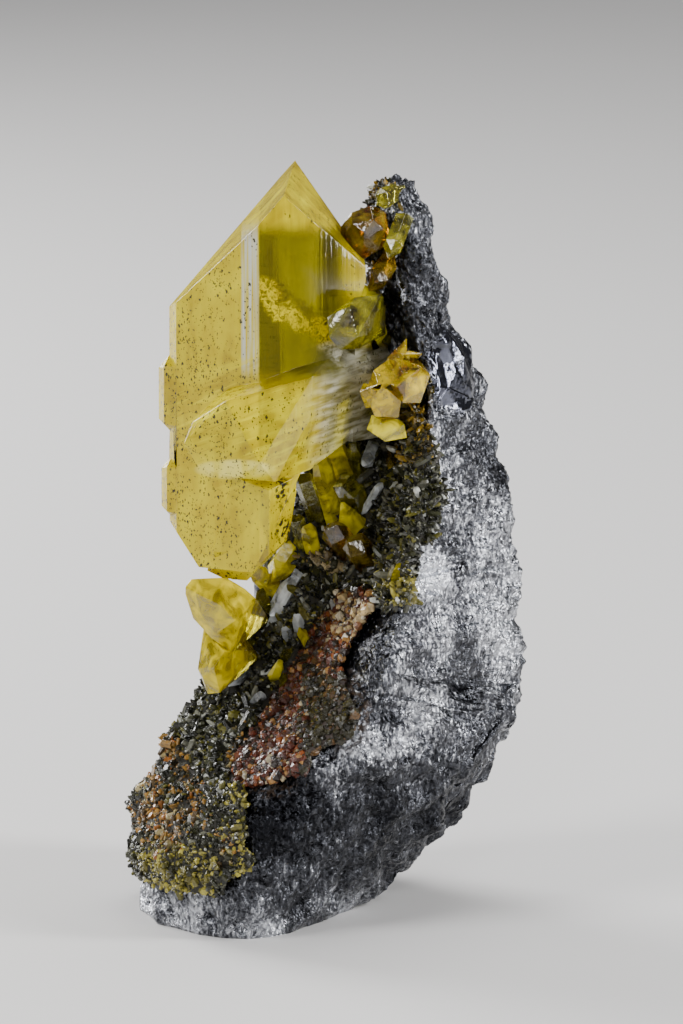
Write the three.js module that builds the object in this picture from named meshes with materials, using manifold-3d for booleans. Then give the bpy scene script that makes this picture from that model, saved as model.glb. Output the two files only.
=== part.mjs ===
// A yellow anglesite specimen: a large rhombic prism and its neighbours grown on a crescent of
// lead-grey galena, whose hollow side is lined with a dark crust of minute crystals.
// Millimetres, +Z up, the face that shows the crystals looks along -Y, +X to its right.
// The specimen stands on its flat cut foot, and the origin is the middle of its base.
import * as THREE from 'three';
import { ConvexGeometry } from 'three/addons/geometries/ConvexGeometry.js';
import { LoftGeometry } from 'three/addons/geometries/LoftGeometry.js';
import { ImprovedNoise } from 'three/addons/math/ImprovedNoise.js';
import { mergeVertices } from 'three/addons/utils/BufferGeometryUtils.js';
import Module from 'manifold-3d';

const wasm = await Module();
wasm.setup();

// Driving dimensions
const viewTilt = THREE.MathUtils.degToRad(12); // the front is drawn as seen from this far above
const gap = 0.35; // left between a crystal and what it grows on
const crustDepth = 1.5; // of the dark crust over the rock
const seamDepth = 1.2; // of the rusty seam over the rock
const crustCrystals = 30; // standing out of the dark crust
const seamGrains = 24; // standing out of the rusty seam
const sectionPoints = 31; // round the rock
const sectionRows = 31; // up the rock
const rockBottom = -3; // below the foot, where the rock is cut flat
const skinTolerance = 0.05; // how far a face may move when the skins are thinned out
const crustTolerance = 0.2; // the same for the crust and the seam
const lumps = { height: 1, width: 8 }; // broad swellings of the rock's skin
const folds = { height: 0.9, width: 5 }; // sharper creases between them

// Seeded random numbers, so that every build is the same
const { seededRandom } = THREE.MathUtils;
seededRandom(20);
const between = (low, high) => low + (high - low) * seededRandom();

// The front is measured in a plane that leans back by viewTilt: across, up, and depth away from
// the eye in the upright frame. These turn such a measure into a point of that frame.
const sight = new THREE.Vector3(0, Math.cos(viewTilt), -Math.sin(viewTilt));
const seenUp = new THREE.Vector3(0, Math.sin(viewTilt), Math.cos(viewTilt));
const seen = (across, up, depth) =>
  new THREE.Vector3(across, depth, (up - depth * Math.sin(viewTilt)) / Math.cos(viewTilt));

// A closed geometry as a solid, and a solid as a geometry
function solidOf(geometry) {
  const bare = geometry.clone();
  for (const name of Object.keys(bare.attributes)) {
    if (name !== 'position') bare.deleteAttribute(name);
  }
  const merged = mergeVertices(bare, 1e-3);
  return new wasm.Manifold(
    new wasm.Mesh({
      numProp: 3,
      vertProperties: merged.attributes.position.array,
      triVerts: new Uint32Array(merged.index.array),
    }),
  );
}

function geometryOf(solid) {
  const mesh = solid.getMesh();
  return new THREE.BufferGeometry()
    .setAttribute('position', new THREE.BufferAttribute(mesh.vertProperties, mesh.numProp))
    .setIndex(new THREE.BufferAttribute(mesh.triVerts, 1));
}

const largestBody = (solid) => solid.decompose().sort((a, b) => b.volume() - a.volume())[0];

// Cuts away all that lies beyond a plane, which is given by a point and the way it faces
function cutBeyond(solid, point, facing, spare = 0) {
  const out = new THREE.Vector3(...facing).normalize();
  const reach = out.dot(new THREE.Vector3(...point)) + spare;
  return solid.trimByPlane(out.clone().negate().toArray(), -reach);
}

// The rock's level sections, from the foot up: its left edge, the ridge that faces the front, its
// right edge and its back, each as [x, y]. The hollow's floor lies inside the line from left to
// ridge by dent, and the broken face outside the line from ridge to right by swell.
const sections = [
  { z: -3, left: [-22, 3], ridge: [-8, -17.5], right: [6, 9], back: [-6, 20], dent: -5, swell: 2 },
  { z: 0, left: [-23, 3], ridge: [-9, -18.2], right: [7.5, 9], back: [-6, 20.5], dent: -5, swell: 2.5 },
  { z: 6, left: [-21.8, 2], ridge: [-9, -20], right: [12.5, 6], back: [-4, 21], dent: -5, swell: 3 },
  {
    z: 13, left: [-22.2, 2], ridge: [-8, -20.6], right: [18.8, 3],
    back: [-1, 20.5], dent: -3.6, swell: 3.5,
  },
  { z: 20, left: [-18, 3], ridge: [-2, -20.3], right: [21.6, 1], back: [2, 20], dent: -0.6, swell: 3.5 },
  { z: 28, left: [-12.6, 4], ridge: [3.5, -19], right: [24.2, 0], back: [6, 19], dent: 2, swell: 3 },
  { z: 38, left: [-8.8, 5], ridge: [8.5, -16.5], right: [23.4, 0], back: [9, 18], dent: 3.5, swell: 2.5 },
  { z: 48, left: [-4, 5], ridge: [12, -13.5], right: [22.9, 0], back: [12, 16], dent: 3.5, swell: 2 },
  { z: 58, left: [1.4, 5], ridge: [12.6, -11], right: [19.6, 0], back: [13, 13], dent: 3, swell: 1.6 },
  { z: 66, left: [4.8, 4], ridge: [12, -9], right: [17.6, 0], back: [12.5, 11], dent: 2.2, swell: 1.5 },
  { z: 74, left: [5.6, 3], ridge: [9.9, -7.5], right: [14.4, 0], back: [11, 9.5], dent: 1, swell: 1.5 },
  { z: 82, left: [3.6, 2], ridge: [9.4, -7], right: [12.2, 0], back: [8.5, 8.5], dent: 0, swell: 1.2 },
  { z: 87, left: [4.6, 1], ridge: [8.8, -5.2], right: [11.6, 0], back: [8.2, 6], dent: 0, swell: 0.8 },
  { z: 89.2, left: [6.4, 0.5], ridge: [8.4, -2.6], right: [10.2, 0], back: [8.4, 3], dent: 0, swell: 0.4 },
];

// Where the galena has split along flat cleavages: a point on each split and the way it faces
const splits = [
  { at: [24, 0, 26.6], facing: [0.83, -0.3, -0.47] },
  { at: [22.6, -4, 46], facing: [0.93, -0.36, 0.05] },
  { at: [15.9, -4.4, 67], facing: [0.76, -0.65, 0.05] },
  { at: [-1, -23.4, 9], facing: [0.1, -0.97, -0.22] },
  { at: [12, -16.6, 22], facing: [0.5, -0.86, -0.06] },
  { at: [17.2, -11, 36], facing: [0.66, -0.75, 0.06] },
  { at: [-17.4, 15.6, 10], facing: [-0.62, 0.75, 0.22] },
  { at: [14, 14.6, 34], facing: [0.5, 0.86, 0.05] },
  { at: [0, 20.3, 22], facing: [-0.22, 0.97, 0.1] },
  { at: [6.5, 13.8, 52], facing: [-0.5, 0.84, 0.2] },
  { at: [15.5, 9, 60], facing: [0.7, 0.7, 0.12] },
];

// Broad pits broken out of the front, as spheres: middle [across, up, depth] and radius
const pits = [
  { middle: [-3.6, 11.6, -33.4], radius: 13.5 },
  { middle: [10.5, 18, -29], radius: 12 },
  { middle: [20.5, 41, -24.6], radius: 14 },
  { middle: [15.2, 53, -18.6], radius: 7.6 },
];

// A point of the line from a to b, pushed to its right by bulge
function pushed(a, b, share, bulge) {
  const across = new THREE.Vector2().subVectors(b, a);
  const out = new THREE.Vector2(across.y, -across.x).normalize();
  return new THREE.Vector2().copy(a).addScaledVector(across, share).addScaledVector(out, bulge);
}

// The level section at a height between two of the listed ones
function sectionAt(z) {
  const above = Math.max(sections.findIndex((s) => s.z >= z - 1e-6), 1);
  const [low, high] = [sections[above - 1], sections[above]];
  const even = (z - low.z) / (high.z - low.z);
  const share = THREE.MathUtils.smoothstep(z, low.z, high.z) * 0.4 + even * 0.6;
  const mix = (a, b) => THREE.MathUtils.lerp(a, b, share);
  const corner = (key) =>
    new THREE.Vector2(mix(low[key][0], high[key][0]), mix(low[key][1], high[key][1]));
  const [left, ridge, right, back] = ['left', 'ridge', 'right', 'back'].map(corner);
  const girth = left.distanceTo(right);
  const outline = [
    left,
    pushed(left, ridge, 0.5, -mix(low.dent, high.dent)),
    ridge,
    pushed(ridge, right, 0.5, mix(low.swell, high.swell)),
    right,
    pushed(right, back, 0.5, girth * 0.12),
    back,
    pushed(back, left, 0.5, girth * 0.13),
  ];
  const curve = new THREE.CatmullRomCurve3(
    outline.map((p) => new THREE.Vector3(p.x, p.y, z)),
    true,
    'centripetal',
  );
  return curve.getSpacedPoints(sectionPoints).slice(0, -1);
}

// The broken rock before it is cut, with lumps and pits pushed out along its skin
function rockSkin() {
  const top = sections.at(-1).z;
  const rows = [];
  for (let i = 0; i <= sectionRows; i++) {
    rows.push(sectionAt(rockBottom + ((top - rockBottom) * i) / sectionRows));
  }
  const loft = new THREE.BufferGeometry().copy(new LoftGeometry(rows, { capStart: true, capEnd: true }));
  loft.deleteAttribute('normal');
  loft.deleteAttribute('uv');
  const skin = mergeVertices(loft, 1e-3);
  skin.computeVertexNormals();
  const noise = new ImprovedNoise();
  const wave = (p, width) => noise.noise(p.x / width, p.y / width, p.z / width);
  const crease = (p) => 0.4 - 2 * Math.abs(wave(p, folds.width));
  const relief = (p) => lumps.height * wave(p, lumps.width) + folds.height * crease(p);
  const point = new THREE.Vector3();
  const out = new THREE.Vector3();
  for (let i = 0; i < skin.attributes.position.count; i++) {
    point.fromBufferAttribute(skin.attributes.position, i);
    out.fromBufferAttribute(skin.attributes.normal, i);
    point.addScaledVector(out, relief(point));
    skin.attributes.position.setXYZ(i, point.x, point.y, point.z);
  }
  skin.computeVertexNormals();
  return skin;
}

const skin = rockSkin();

// The rock grown outwards by some millimetres, split on its cleavages, pitted, and cut flat below
function rock(growth) {
  const grown = skin.clone();
  const { position, normal } = grown.attributes;
  for (let i = 0; i < position.count; i++) {
    position.setXYZ(
      i,
      position.getX(i) + growth * normal.getX(i),
      position.getY(i) + growth * normal.getY(i),
      position.getZ(i) + growth * normal.getZ(i),
    );
  }
  const split = splits.reduce((solid, s) => cutBeyond(solid, s.at, s.facing, growth), solidOf(grown));
  const pitted = pits.reduce((solid, { middle, radius }) => {
    const ball = wasm.Manifold.sphere(radius - growth, 24);
    return solid.subtract(ball.translate(seen(...middle).toArray()));
  }, split);
  return largestBody(cutBeyond(pitted, [0, 0, 0], [0, 0, -1])).simplify(skinTolerance);
}

const galena = rock(0);
const galenaMesh = new THREE.Mesh(geometryOf(galena));
const eye = new THREE.Raycaster();

// The point of a mesh that the front view shows at a place, or undefined
function shownAt(mesh, across, up) {
  const eyeDepth = -80;
  eye.set(seen(across, up, eyeDepth), sight);
  return eye.intersectObject(mesh)[0];
}

const hull = (points) => solidOf(new ConvexGeometry(points));

// A convex crystal from corners given as [across, up, depth]
const crystalFrom = (corners) => hull(corners.map((corner) => seen(...corner)));

// A convex solid grown outwards by at least gap
function loosened(solid) {
  const { min, max } = solid.boundingBox();
  const centre = [0, 1, 2].map((i) => (min[i] + max[i]) / 2);
  const half = Math.min(...[0, 1, 2].map((i) => max[i] - min[i])) / 2;
  return solid
    .translate(centre.map((c) => -c))
    .scale(1 + (1.3 * gap) / half)
    .translate(centre);
}

// The largest crystal: a rhombic prism with a stepped left edge, under a roof of two sloping faces
function mainPrism() {
  const plan = [
    [-18.9, -9.3], [-18, -11.2], [-10.2, -15.2], [-8.1, -16],
    [4.6, -9.5], [4.4, -7.6], [-3.9, 0], [-5.6, -0.6],
  ];
  const [foot, head] = [44.6, 96];
  const ends = [foot, head].flatMap((z) => plan.map(([x, y]) => new THREE.Vector3(x, y, z)));
  const faces = [
    { at: [-8.1, -16, 86.9], facing: [-0.725, -0.02, 0.688] }, // left slope of the roof
    { at: [-5.1, -14.5, 90], facing: [0.7265, -0.148, 0.671] }, // right slope of the roof
    { at: [4.1, -9, 77.3], facing: [0.948, 0, -0.319] }, // right flank, drawn in towards the foot
    { at: [-3.6, -12, 55.6], facing: [0.893, 0.05, -0.45] },
    { at: [-14.6, -10, 42.9], facing: [-0.846, -0.1, -0.533] }, // tail
  ];
  return faces.reduce((solid, face) => cutBeyond(solid, face.at, face.facing), hull(ends));
}

// Lower growths that stand out of the prism's left edge, each over a range of heights
function leftSteps() {
  return [
    { low: 61, high: 69.4, edge: -20.2, proud: 0.2 },
    { low: 50.4, high: 57.2, edge: -19.9, proud: 0.32 },
  ].map(({ low, high, edge, proud }) => {
    const edgeFront = -11.2 - (edge + 18) * 0.51 - proud;
    const corners = [
      [edge, edgeFront + 1.6, low + 1], [edge, edgeFront + 1.6, high - 1.2],
      [edge + 0.7, edgeFront, low + 0.6], [edge + 0.7, edgeFront, high - 0.8],
      [edge + 1.6, -9, low - 0.6], [edge + 1.6, -9, high + 0.8],
      [-10.2, -15, low], [-10.2, -15, high], [-10, -8, low], [-10, -8, high],
    ];
    const step = hull(corners.map((corner) => new THREE.Vector3(...corner)));
    return cutBeyond(step, [-14.6, -10, 43], [-0.846, -0.1, -0.533]);
  });
}

// The wedge-ended crystal that crosses in front of the prism and runs back into the rock
const crossing = [
  [-17, 55.8, -19], [-16, 58.3, -18], [-15.3, 52.9, -18.5], [-13.9, 60.6, -15.5], [-11.8, 62.3, -15],
  [-4.2, 65, -13], [0.9, 67.1, -9], [-12, 60.8, -20],
  [-1.7, 63.7, -17.5], [-11, 51.7, -20], [-6.2, 51.2, -18.5],
  [-2, 52.7, -14], [-2, 58.9, -17.5], [-8, 53.4, -21], [6.9, 67.7, -2], [9.1, 64.4, -2], [2.1, 58.7, -6],
  [8.5, 61.1, 1], [7, 66, 4], [-12, 56, -10], [-4, 54, -6],
];

// The crystal that shares the prism's tail, with its own faces a step in front
const tail = [
  [-11.2, 51.9, -16.4], [-6.9, 50.2, -17], [-3.7, 51.9, -13.6], [-3.7, 50, -13.2], [-13.7, 43, -14.1],
  [-7, 42.4, -15.1], [-4.6, 44.5, -12.4], [-14.4, 40.6, -11.6], [-12.3, 39.6, -12], [-9.6, 39.4, -12.4],
  [-5, 50, -5], [-6, 43, -6], [-13, 42, -7], [-11, 53, -9],
];

// The growth behind that ties the prism to the rock
const tie = [
  [-4, 74, -3], [3.6, 75, -8], [6, 74.5, 0], [8, 73, 4], [0, 75, 1], [-3, 57, -3], [3, 56, -8], [8, 57, 0],
  [8.5, 60, 6], [1, 57, 2],
];

const lowerPair = [
  [
    [-17, 38.7, -13], [-16.3, 39.6, -12.5], [-14.6, 39.7, -13.6], [-12.1, 39.8, -13.4], [-9.8, 38.4, -12.6],
    [-8.5, 37.2, -11.5], [-9.8, 33.8, -11.5], [-11.2, 30.9, -11], [-11.7, 30.9, -11.4], [-14, 32.6, -12.4],
    [-15, 34, -12.6], [-16.1, 34.9, -12.4], [-17, 37.8, -13], [-12.6, 36.4, -16.6], [-11, 34.6, -16.2],
    [-14.6, 37.4, -15.6], [-15.6, 38, -8], [-9, 37, -2], [-11, 32, -2], [-7, 34.5, 3],
  ],
  [
    [-14.9, 33.6, -9], [-15.6, 28.8, -9.6], [-15, 27.8, -10.4], [-14.4, 25.7, -9], [-12.9, 25.9, -10.6],
    [-11.9, 27, -10.2], [-9.6, 29.6, -8], [-9.6, 31, -8], [-12.4, 31, -12.6], [-13.6, 29, -12.4],
    [-13, 28, -3], [-8, 30, 1], [-10, 32.5, -3],
  ],
];

// The knot of blunt crystals high on the rim, as the corners of each
const knot = [
  [
    [7.2, 66.1, -12.4], [9.5, 68.4, -11.6], [9.5, 66.8, -12.6],
    [8.4, 64.6, -13], [6.6, 64.4, -12], [8.4, 65.5, -8],
  ],
  [
    [5.5, 64.5, -13.6], [7.3, 65.9, -12.6], [8.6, 63.6, -13.8],
    [6.4, 62, -14.6], [4.6, 62.2, -13.8], [7, 63, -8],
  ],
  [[3.8, 62, -13.6], [4.3, 63, -13], [6, 62.8, -14.2], [5.4, 60.2, -14.2], [4.6, 60, -13.4], [6, 61.5, -9]],
  [
    [5.3, 61.3, -15], [6.4, 62.5, -15], [7.2, 62.2, -15],
    [8.8, 60.9, -14.4], [8.5, 58.9, -14.4], [5.6, 59, -15],
    [5.1, 60.5, -15], [8, 58.6, -9], [5.6, 60, -9], [8.6, 62, -9],
  ],
  [
    [8, 66, -13], [11.1, 65.1, -12], [12.3, 64, -11],
    [11.4, 62.1, -12.2], [11.1, 60.6, -12.2], [9, 60.6, -13.6],
    [7.6, 62.6, -13.8], [9.4, 63.6, -14.6], [11, 61, -6], [8, 62, -6], [11, 66, -6], [8, 67, -7],
  ],
  [
    [7.5, 62.9, -15.2], [8.2, 62.5, -15.4], [11.2, 64.9, -13.6],
    [10.6, 65.2, -13.4], [8, 62.2, -12], [10.8, 64.2, -11],
  ],
  [
    [8.9, 66.4, -12.8], [11.4, 66.5, -12.6], [11, 66, -12.2],
    [9, 66.1, -12.4], [10, 65.6, -9], [9.8, 66.9, -12],
  ],
];

// Stout crystals, as a kind and the corners of each
const stout = {
  block_crystal: ['olive', [
    [0, 70.8, -15.2], [3.3, 73.2, -13.4], [6.4, 73.6, -9.6],
    [6.2, 69, -9.6], [3.8, 67.1, -13.2], [1.5, 66.9, -15.4],
    [0.2, 68.4, -16], [2.6, 72, -15.6], [3.6, 68.4, -15.6], [7, 72.6, -3], [7, 69, -2], [4.4, 68, -8],
  ]],
  amber_crystal: ['amber', [
    [1.6, 81.7, -6], [2.9, 83.4, -6.5], [5.1, 84.2, -6.5],
    [6.8, 83.4, -6], [7, 81.2, -7.5], [6.1, 79, -7.5],
    [4.1, 77.7, -7], [2.5, 78.5, -7], [1.6, 80.2, -6.5], [4.4, 81, -9], [5.5, 82.5, -8.5], [3, 82, -8],
    [6.5, 82, 0], [8, 80, -1], [5, 84, -1], [7.5, 84, 1],
  ]],
  crown_crystal: ['yellow', [
    [4.7, 57.5, -13], [5.3, 59.2, -12.6], [6.9, 56, -14.2],
    [9.5, 56.5, -12.6], [9.2, 58.1, -12.8], [8.4, 58.7, -12.4],
    [5.6, 56.9, -14.2], [8, 57.6, -14.4], [9.4, 57, -5], [6, 58, -3], [9, 58.6, -4],
  ]],
};

// A flattened bar of four or six sides from foot to tip, which ends in a chisel edge
function bar(foot, tip, { width, thick, roll = 0, shoulder = 0.74, chisel = 0.5, sides = 6 }) {
  const length = foot.distanceTo(tip);
  const axis = new THREE.Vector3().subVectors(tip, foot).normalize();
  const upright = new THREE.Vector3(0, 0, 1);
  const rolled = new THREE.Quaternion().setFromAxisAngle(upright, THREE.MathUtils.degToRad(roll));
  const turn = new THREE.Quaternion().setFromUnitVectors(upright, axis).multiply(rolled);
  const [w, t] = [width / 2, thick / 2];
  const lozenge = [[-w, 0], [0, -t], [w, 0], [0, t]];
  const half = w * 0.55;
  const hexagon = [[-w, 0], [-half, -t], [half, -t], [w, 0], [half, t], [-half, t]];
  const ring = sides === 4 ? lozenge : hexagon;
  const corners = [0, length * shoulder].flatMap((z) => ring.map(([x, y]) => new THREE.Vector3(x, y, z)));
  corners.push(new THREE.Vector3(-w * chisel, 0, length), new THREE.Vector3(w * chisel, 0, length * 0.97));
  return hull(corners.map((corner) => corner.applyQuaternion(turn).add(foot)));
}

// The single crystals of the hollow. Foot and tip are [across, up] on the front view, the foot is
// on the rock and the tip stands out of it towards the eye by reach.
const singles = [
  {
    name: 'block_bead', kind: 'olive', foot: [7, 69], tip: [5.4, 66.9],
    reach: 5, width: 2.4, thick: 2, roll: 10,
  },
  {
    name: 'side_crystal', kind: 'olive', foot: [8.8, 81.8], tip: [7.4, 78.2],
    reach: 3.4, width: 2.8, thick: 2.2, roll: 40,
  },
  {
    name: 'summit_crystal', kind: 'olive', foot: [8, 85.6], tip: [5.8, 84.8],
    reach: 2.6, width: 2.6, thick: 1.8, roll: 60,
  },
  {
    name: 'under_crystal', kind: 'amber', foot: [7.6, 77.8], tip: [5.2, 74.4],
    reach: 5, width: 3, thick: 2.4, roll: 30,
  },
  {
    name: 'white_prism', kind: 'clear', foot: [5.8, 56.3], tip: [4.6, 53.2],
    reach: 4.6, width: 1.7, thick: 1.4, shoulder: 0.9,
  },
  {
    name: 'amber_prism', kind: 'amber', foot: [8.1, 55.8], tip: [7.6, 52.8],
    reach: 2.6, width: 1.6, thick: 1.3, roll: 30,
  },
  {
    name: 'tall_prism', kind: 'yellow', foot: [2.4, 51.2], tip: [-0.6, 58.5],
    reach: 4.4, width: 3.1, thick: 2.6, roll: 20, shoulder: 0.86,
  },
  {
    name: 'side_prism', kind: 'olive', foot: [3.6, 51.6], tip: [3, 57],
    reach: 3.2, width: 2, thick: 1.6, roll: 70,
  },
  {
    name: 'pale_blade', kind: 'yellow', foot: [1.2, 46.2], tip: [-1.6, 56.4],
    reach: 6.6, width: 3, thick: 1.4, roll: 35, shoulder: 0.66, chisel: 0.2,
  },
  {
    name: 'olive_blade', kind: 'olive', foot: [-0.6, 45.8], tip: [-3, 52.4],
    reach: 3, width: 2.8, thick: 1.7, shoulder: 0.9,
  },
  {
    name: 'shaded_prism', kind: 'olive', foot: [-2.6, 43], tip: [-3.9, 47.4],
    reach: 1.8, width: 1.9, thick: 1.5, shoulder: 0.9,
  },
  {
    name: 'round_crystal', kind: 'olive', foot: [3.3, 48.6], tip: [2.2, 51.4],
    reach: 4.6, width: 3.7, thick: 3.2, roll: 50, shoulder: 0.8,
  },
  {
    name: 'wedge_plate', kind: 'yellow', foot: [3.4, 44.8], tip: [1.8, 48.9],
    reach: 4, width: 4.4, thick: 1.5, roll: 15, shoulder: 0.3, chisel: 0.1,
  },
  {
    name: 'orange_crystal', kind: 'amber', foot: [2.4, 43.2], tip: [0.4, 45.8],
    reach: 4.6, width: 3.4, thick: 2.8, roll: 10, shoulder: 0.8,
  },
  {
    name: 'bead_crystal', kind: 'yellow', foot: [-1.7, 43], tip: [-2.5, 46.2],
    reach: 3, width: 2.2, thick: 1.9, roll: 30,
  },
  {
    name: 'brown_crystal', kind: 'amber', foot: [4.8, 41.4], tip: [3.2, 44.2],
    reach: 3.8, width: 3.6, thick: 3, shoulder: 0.85,
  },
  {
    name: 'white_blade', kind: 'clear', foot: [4.2, 47.2], tip: [6.4, 51],
    reach: 4.2, width: 1.6, thick: 0.9, roll: 60, shoulder: 0.92, chisel: 0.8,
  },
  {
    name: 'low_knot', kind: 'yellow', foot: [-4.3, 43], tip: [-6.6, 39.4],
    reach: 3.4, width: 3.6, thick: 2.8, roll: 10, shoulder: 0.7,
  },
  {
    name: 'knot_splinter', kind: 'yellow', foot: [-6.2, 38], tip: [-9.2, 41],
    reach: 4, width: 2.4, thick: 1.8, roll: 30,
  },
  {
    name: 'grey_bar', kind: 'clear', foot: [-7.7, 33], tip: [-3.5, 40.8],
    reach: 1.2, width: 2.2, thick: 1.6, shoulder: 0.93, chisel: 0.7,
  },
  {
    name: 'olive_prism', kind: 'olive', foot: [-7.4, 34], tip: [-8.2, 38.4],
    reach: 3.2, width: 2.1, thick: 1.7, roll: 40,
  },
  {
    name: 'olive_bead', kind: 'olive', foot: [-8.4, 31.6], tip: [-10.8, 32.4],
    reach: 3.4, width: 1.8, thick: 1.4, roll: 30,
  },
  {
    name: 'first_chip', kind: 'clear', foot: [-1.9, 34.8], tip: [-0.2, 37.2],
    reach: 1.6, width: 1.3, thick: 0.9, roll: 20, sides: 4,
  },
  {
    name: 'bright_chip', kind: 'clear', foot: [1.2, 35.4], tip: [0.3, 37],
    reach: 2.2, width: 1.3, thick: 0.7, roll: 70, sides: 4,
  },
  {
    name: 'second_chip', kind: 'clear', foot: [-3.2, 32.6], tip: [-3.7, 35.4],
    reach: 1.8, width: 1.5, thick: 1, sides: 4,
  },
  {
    name: 'third_chip', kind: 'clear', foot: [-4.4, 31.8], tip: [-5.3, 33.8],
    reach: 2, width: 1.3, thick: 0.7, roll: 20, sides: 4,
  },
  {
    name: 'green_plate', kind: 'yellow', foot: [-2, 31.6], tip: [-3.6, 33.4],
    reach: 2.8, width: 2.2, thick: 0.9, roll: 70, shoulder: 0.6, sides: 4,
  },
  {
    name: 'olive_chip', kind: 'olive', foot: [-4.2, 29.4], tip: [-5.2, 31],
    reach: 2.2, width: 1.8, thick: 1.2, roll: 20, sides: 4,
  },
  {
    name: 'pale_plate', kind: 'yellow', foot: [-6.8, 26.2], tip: [-5.6, 29.9],
    reach: 2.4, width: 2, thick: 0.8, roll: 10, shoulder: 0.6, chisel: 0.3,
  },
  {
    name: 'low_chip', kind: 'olive', foot: [-4.8, 26.2], tip: [-5.6, 28],
    reach: 2, width: 1.8, thick: 1.1, roll: 50, sides: 4,
  },
  {
    name: 'grey_prism', kind: 'clear', foot: [-8.7, 29.9], tip: [-11.9, 26.8],
    reach: 3.4, width: 2.3, thick: 1.7, roll: 10, shoulder: 0.8,
  },
  {
    name: 'lilac_prism', kind: 'clear', foot: [-9.8, 23], tip: [-7.7, 25.9],
    reach: 1.8, width: 1.5, thick: 1, shoulder: 0.9, sides: 4,
  },
  {
    name: 'rim_chip', kind: 'yellow', foot: [8.2, 39.2], tip: [8.6, 41.6],
    reach: 2.4, width: 1.8, thick: 1, roll: 40, sides: 4,
  },
];

// Outlines on the front view, as [across, up]: the crusted hollow and the rusty seam on its rim
const hollowOutline = [
  [-30, 86.6], [6.8, 87], [7.9, 84], [9.2, 80], [8.8, 76.4], [7.8, 73], [7.8, 66], [10.6, 60], [12.4, 56.6],
  [13.4, 52], [13.9, 48.6], [12.6, 46], [10.1, 42.6], [10.3, 37.2], [7.2, 36], [5, 37.2], [2.6, 36.4],
  [0.2, 33.6], [-2.2, 29.4], [-4, 25.6], [-6.6, 20.8], [-10.2, 16.4], [-9.9, 10.6], [-9.4, 5.2],
  [-12.6, 1.8], [-19, 2.2], [-24, 4], [-34, 10],
];
const seamOutline = [
  [2.4, 38.2], [4.9, 38.4], [5.8, 36.9], [4.8, 35.8], [2.8, 32.3], [1.4, 29.2], [2.3, 26], [3.4, 23.4],
  [2.8, 20.8], [1, 20.4], [-0.8, 19.6], [-3.4, 16.6],
  [-7.6, 15.2], [-11, 14.8], [-11.2, 17.4], [-8.2, 22.4],
  [-5.6, 26.8], [-3.4, 30.6], [-1, 34.6],
];

// How far round its left side the crust reaches, and the bites that break its far edge
const crustBack = { at: [-14, 6, 10], facing: [-0.2, 0.97, 0.1] };
const bites = { from: 6, to: 84, spacing: 3, smallest: 1.6, largest: 3.8 };

// An outline that runs clockwise, pushed outwards
function widened(outline, growth) {
  return outline.map(([across, up], i) => {
    const [before, after] = [outline.at(i - 1), outline[(i + 1) % outline.length]];
    const along = new THREE.Vector2(after[0] - before[0], after[1] - before[1]).normalize();
    return [across - along.y * growth, up + along.x * growth];
  });
}

// A prism with that outline, which runs into the rock along the line of sight
function outlineSolid(outline, behind) {
  const inFront = 60;
  const shape = new THREE.Shape(outline.map(([across, up]) => new THREE.Vector2(across, up)));
  const block = new THREE.ExtrudeGeometry(shape, { depth: inFront + behind, bevelEnabled: false });
  block.translate(0, 0, -behind);
  const toEye = sight.clone().negate();
  const basis = new THREE.Matrix4().makeBasis(new THREE.Vector3(1, 0, 0), seenUp, toEye);
  return solidOf(block.applyMatrix4(basis));
}

// A layer over the rock inside an outline, which ends round the corner in a bitten edge
function layerOf({ outline, behind, depth }) {
  const whole = rock(depth).intersect(outlineSolid(outline, behind));
  const layer = cutBeyond(whole, crustBack.at, crustBack.facing);
  const out = new THREE.Vector3(...crustBack.facing);
  const reach = out.dot(new THREE.Vector3(...crustBack.at));
  const balls = [];
  for (let z = bites.from; z <= bites.to; z += bites.spacing) {
    const far = (x) => (reach - out.x * x - out.z * z) / out.y;
    eye.set(new THREE.Vector3(-60, far(-14), z), new THREE.Vector3(1, 0, 0));
    const [hit] = eye.intersectObject(galenaMesh);
    if (!hit) continue;
    const ball = wasm.Manifold.sphere(between(bites.smallest, bites.largest), 6);
    balls.push(ball.translate([hit.point.x - depth / 2, far(hit.point.x), z]));
  }
  return layer.subtract(wasm.Manifold.union(balls));
}

// A random place inside an outline's box where the front view shows the mesh
function randomPlace(mesh, outline) {
  const box = new THREE.Box2().setFromPoints(outline.map(([across, up]) => new THREE.Vector2(across, up)));
  for (;;) {
    const hit = shownAt(mesh, between(box.min.x, box.max.x), between(box.min.y, box.max.y));
    if (hit) return hit;
  }
}

// The layer with small growths fused to it, and the room that the growths need
function crust(lining) {
  const layer = layerOf(lining);
  const mesh = new THREE.Mesh(geometryOf(layer));
  const growths = [];
  for (let i = 0; i < lining.count; i++) {
    growths.push(lining.growth(randomPlace(mesh, lining.outline)));
  }
  const lowest = 0.6;
  const whole = cutBeyond(wasm.Manifold.union([layer, ...growths]), [0, 0, lowest], [0, 0, -1]);
  return [whole.subtract(rock(gap)), wasm.Manifold.union(growths.map(loosened))];
}

// A minute crystal that leans out of the crust
function crustCrystal({ point, face }) {
  const lean = new THREE.Vector3(between(-0.7, 0.7), between(-0.7, 0.7), between(-0.7, 0.7));
  const way = lean.add(face.normal).normalize();
  const foot = point.clone().addScaledVector(way, -0.6);
  const tip = point.clone().addScaledVector(way, between(0.7, 1.7));
  const form = { width: between(1, 1.9), thick: between(0.8, 1.4), roll: between(0, 180), sides: 4 };
  return bar(foot, tip, form);
}

// A blocky grain half sunk in the seam
function seamGrain({ point }) {
  const grain = new THREE.OctahedronGeometry(between(0.7, 1.3));
  grain.scale(between(0.8, 1.2), between(0.8, 1.2), between(0.8, 1.2));
  grain.rotateX(between(0, 3)).rotateZ(between(0, 3));
  return solidOf(grain.translate(point.x, point.y, point.z));
}

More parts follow.
